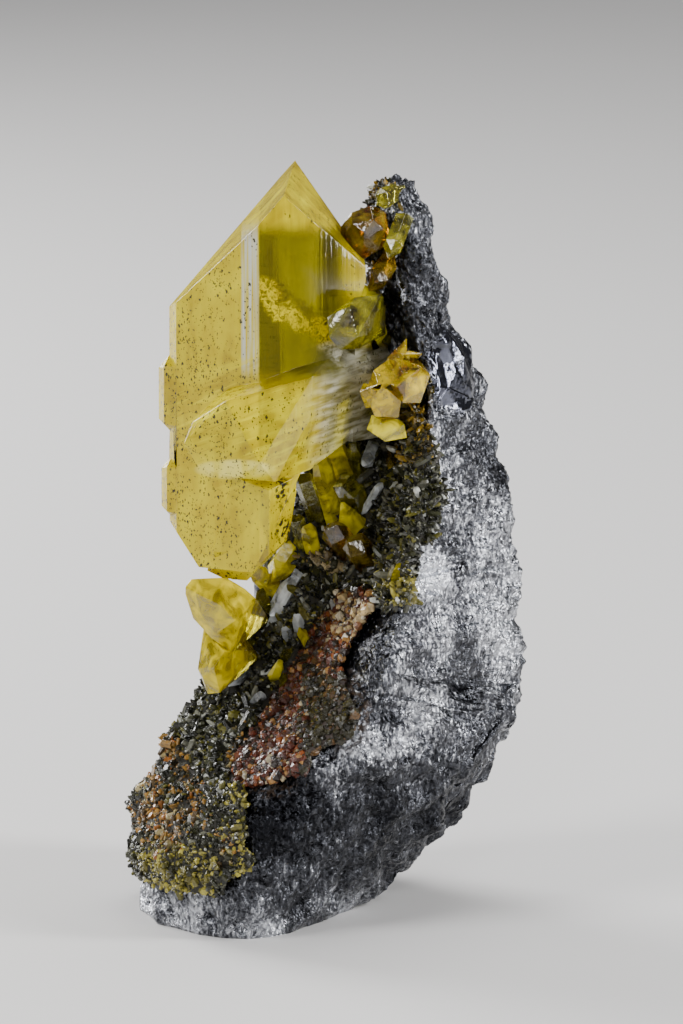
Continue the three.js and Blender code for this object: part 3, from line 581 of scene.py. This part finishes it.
def main_finish():
    finish = Finish("Large yellow crystal")
    grooves = finish.noise(1, 4, finish.stretched(2.6, 2.6, 0.06))
    swirl = finish.noise(0.16, 5, None, 1.2)
    streaks = finish.noise(0.5, 4, finish.stretched(1, 1, 0.2), 0.5)

    # The parts of the crystal on the front view: the left face, the upright strip beside the
    # middle edge, the clear window of the right face with a slanting veil, and the smoky end.
    # The window is painted dark olive outside its veil: painted shade for the dark seen through it.
    left = finish.x.rise(-7.9, -8.3)
    strip = finish.x.rise(-10.3, -10.1) * finish.x.rise(-8, -8.2)
    strip = strip * finish.up.rise(63, 66) * finish.up.rise(83, 79)
    window = (1 - left) * finish.up.rise(62, 65) * finish.up.rise(82.5, 80) * finish.x.rise(3.4, 0.5)
    bend = finish.up - 66 + finish.x * 0.72 + (swirl - 0.5) * 7
    veil = abs(bend - 2.2).rise(2.2, 0.7) * finish.noise(1.6, 7, None, 1.5).rise(0.3, 0.62)
    roof = (1 - left) * finish.up.rise(79, 82)
    tail = finish.up.rise(56, 52)
    grey = finish.x.rise(-3.5, 1) * finish.up.rise(68.5, 67) * finish.y.rise(-20, -17)

    patchy = finish.noise(0.3, 5).rise(0.42, 0.66)
    crowding = finish.x.rise(-5, -15) * 0.3 + finish.up.rise(74, 62) * 0.08 + patchy * 0.36
    grime = finish.spots((-5.4, 50, 1, 2.4, 1), (-5.2, 45.4, 1.2, 2, 1))
    speck = (dark_grains(finish, crowding) * (1 - window)).least(1)
    speck = speck + grime * finish.noise(1.8, 4).rise(0.46, 0.56)

    stops = (0.32, DEEP_YELLOW), (0.5, YELLOW), (0.72, PALE_YELLOW)
    bright = finish.colours(swirl * 0.6 + streaks * 0.4, *stops)
    bright = finish.mixed(strip * grooves.rise(0.3, 0.62), bright, GROOVE_GREY)
    bright = streaked(finish, bright, grey)
    blade = finish.spot(-11, 52.7, 5.2, 1.3) * streaks.rise(0.3, 0.55)
    bright = finish.mixed(blade, bright, BLADE_PALE)
    # Painted shade: outside its veil the window is painted dark olive, for the dark seen through it.
    window_shade = finish.mixed(streaks, WINDOW_SHADE_DARK, WINDOW_SHADE_PALE)
    bright = finish.mixed(window * (1 - veil) * 0.9, bright, window_shade)
    # Painted highlights: paler yellow flashes at three spots of the front, strongest where the swirl is
    # high.
    painted_flash = finish.spots((-10.8, 52.6, 5.4, 1.5, 1), (-6.4, 58, 6, 3, 0.5), (-8, 47, 3, 6, 0.4))
    bright = finish.mixed(painted_flash * swirl, bright, PALE_YELLOW)
    colour = finish.mixed(speck, bright, SPECK)

    cloud = left + (1 - left) * 0.66 + tail * 0.25 + roof * 0.15 + (streaks - 0.5) * 0.9
    cloud = cloud * (1 - window * 0.2) + window * veil * 0.6 + grey * 0.5 + strip * 0.5
    cloud = cloud.most(speck).least(1)
    relief = finish.bump(grooves + finish.noise(0.6, 2) * 0.3, 0.05)
    return gem(finish, cloud, colour, *LARGE_CLEAR, relief)


def faceted(*nodes, dull=0.07):
    """Merged crystals with clean flat faces and finely dulled edges."""
    shape = copied(*nodes)
    bmesh.ops.dissolve_limit(
        shape, angle_limit=math.radians(0.8), verts=shape.verts, edges=shape.edges)
    sharp = [
        edge for edge in shape.edges if edge.calc_length() > 9 * dull * MM
        and len(edge.link_faces) == 2 and edge.calc_face_angle() > math.radians(14)]
    bmesh.ops.bevel(
        shape, geom=sharp, offset=dull * MM, offset_type="OFFSET", affect="EDGES", segments=2,
        profile=0.5, material=-1, clamp_overlap=False)
    return shape


piece_of("large_crystal", faceted("main_crystal"), main_finish(), "yellow_crystal", "main_crystal")

# The small crystals: blunt prisms, blades and plates of the same mineral that stand in the hollow
# and on its rim, clear yellow, olive, amber or almost colourless.
# Their surface, clear and absorption colours, the density of that, and how cloudy they are.
SMALL = {
    "yellow": ((0.72, 0.6, 0.02, 1), (1, 0.97, 0.5, 1), (0.96, 0.93, 0.1, 1), 420, 0.75),
    "olive": ((0.22, 0.2, 0.008, 1), (0.95, 0.94, 0.4, 1), (0.85, 0.82, 0.1, 1), 600, 0.42),
    "amber": ((0.2, 0.135, 0.001, 1), (0.98, 0.85, 0.25, 1), (0.86, 0.7, 0.03, 1), 1000, 0.4),
    "grey": ((0.6, 0.63, 0.64, 1), (0.95, 0.97, 1, 1), (0.7, 0.74, 0.7, 1), 200, 0.75),
}


def small_finish(name, colour, clear_colour, absorbed, density, cloudiness):
    finish = Finish("Small %s crystals" % name)
    swirl = finish.noise(0.5, 5, None, 0.8)
    tint = finish.noise(0.25, 2)
    dark = (*(0.45 * channel for channel in colour[:3]), 1)
    pale = tuple(min(1.45 * channel + 0.02, 1) for channel in colour)
    stops = (0.35, dark), (0.5, colour), (0.75, pale)
    mottled = finish.colours(swirl * 0.6 + tint * 0.4, *stops)
    cloud = (swirl - 0.5) * 2.2 + cloudiness
    relief = finish.bump(finish.noise(1.6, 3), 0.06)
    return gem(finish, cloud, mottled, clear_colour, absorbed, density, relief)


GROUPS = {
    "yellow": (
        "crown_crystal", "tall_prism", "pale_blade", "wedge_plate", "bead_crystal", "low_knot",
        "knot_splinter", "green_plate", "pale_plate", "rim_chip",
    ),
    "olive": (
        "block_crystal", "block_bead", "side_crystal", "summit_crystal", "side_prism", "olive_blade",
        "shaded_prism", "round_crystal", "olive_prism", "olive_bead", "olive_chip", "low_chip",
    ),
    "amber": ("amber_crystal", "under_crystal", "amber_prism", "orange_crystal", "brown_crystal"),
    "grey": (
        "white_prism", "white_blade", "grey_bar", "first_chip", "bright_chip", "second_chip",
        "third_chip", "grey_prism", "lilac_prism",
    ),
}
for name, nodes in GROUPS.items():
    glass = small_finish(name, *SMALL[name])
    piece_of(name + "_crystals", faceted(*nodes, dull=0.04), glass, name + "_crystal", *nodes)

# The pair of cloudy yellow crystals below the large one, and the knot of bright blunt crystals on
# the rim of the hollow.
CLOUDY = (YELLOW, (1, 0.96, 0.5, 1), (0.96, 0.92, 0.05, 1), 420, 0.75)
KNOT = ((0.62, 0.45, 0, 1), (1, 0.95, 0.4, 1), (0.97, 0.88, 0.02, 1), 520, 0.4)
for name, node, kind, looks in (
    ("cloudy_crystals", "lower_crystals", "cloudy", CLOUDY),
    ("bright_knot", "yellow_knot", "knot", KNOT),
):
    piece_of(name, faceted(node), small_finish(kind, *looks), "yellow_crystal", node)

# The pale floor, the soft lights and the camera, which looks down on the specimen a little.
FLOOR_SIZE = 6.0
FLOOR_PALE = (0.66, 0.65, 0.64, 1)
STUDIO_GREY = (0.5, 0.5, 0.52, 1)
VIEW_HEIGHT = 1024 * 0.12 * MM  # the picture's height in pixels, by the size of one
DISTANCE = 1.2
CENTRE = Vector((1.7, -8, 50.4)) * MM + MIDDLE
floor_finish = Finish("Pale floor")
floor_body = floor_finish.node("BsdfPrincipled", {}, {"Base Color": FLOOR_PALE, "Roughness": 0.6})
floor_shape = bmesh.new()
bmesh.ops.create_grid(floor_shape, x_segments=1, y_segments=1, size=FLOOR_SIZE / 2)
floor_mesh = bpy.data.meshes.new("floor")
floor_shape.to_mesh(floor_mesh)
floor_shape.free()
floor_mesh.materials.append(floor_finish.surface(floor_body.outputs[0]))
floor = bpy.data.objects.new("floor", floor_mesh)
bpy.context.scene.collection.objects.link(floor)


def softbox(name, place, width, height, power):
    """A rectangular soft light that faces the specimen."""
    lamp = bpy.data.lights.new(name, "AREA")
    lamp.shape = "RECTANGLE"
    lamp.size = width
    lamp.size_y = height
    lamp.energy = power
    light = bpy.data.objects.new(name, lamp)
    light.location = place
    light.rotation_euler = (CENTRE - Vector(place)).to_track_quat("-Z", "Y").to_euler()
    bpy.context.scene.collection.objects.link(light)


softbox("key", (-0.5, -0.35, 0.5), 0.24, 0.24, 4)
softbox("right", (0.5, -0.12, 0.25), 0.1, 0.4, 4)
softbox("rear left", (-0.4, 0.4, 0.25), 0.3, 0.3, 6)
softbox("front", (-0.06, -0.75, 0.42), 0.2, 0.2, 1.8)
softbox("top", (0.1, 0.1, 0.7), 0.4, 0.4, 2.4)

world = bpy.data.worlds.new("Studio")
world.use_nodes = True
background = world.node_tree.nodes["Background"]
background.inputs["Color"].default_value = STUDIO_GREY
background.inputs["Strength"].default_value = 0.28
bpy.context.scene.world = world

lens = bpy.data.cameras.new("camera")
lens.lens = lens.sensor_width * DISTANCE / VIEW_HEIGHT
camera = bpy.data.objects.new("camera", lens)
sight = Vector((0, math.cos(TILT), -math.sin(TILT)))
camera.location = CENTRE - sight * DISTANCE
camera.rotation_euler = sight.to_track_quat("-Z", "Y").to_euler()
bpy.context.scene.collection.objects.link(camera)
bpy.context.scene.camera = camera
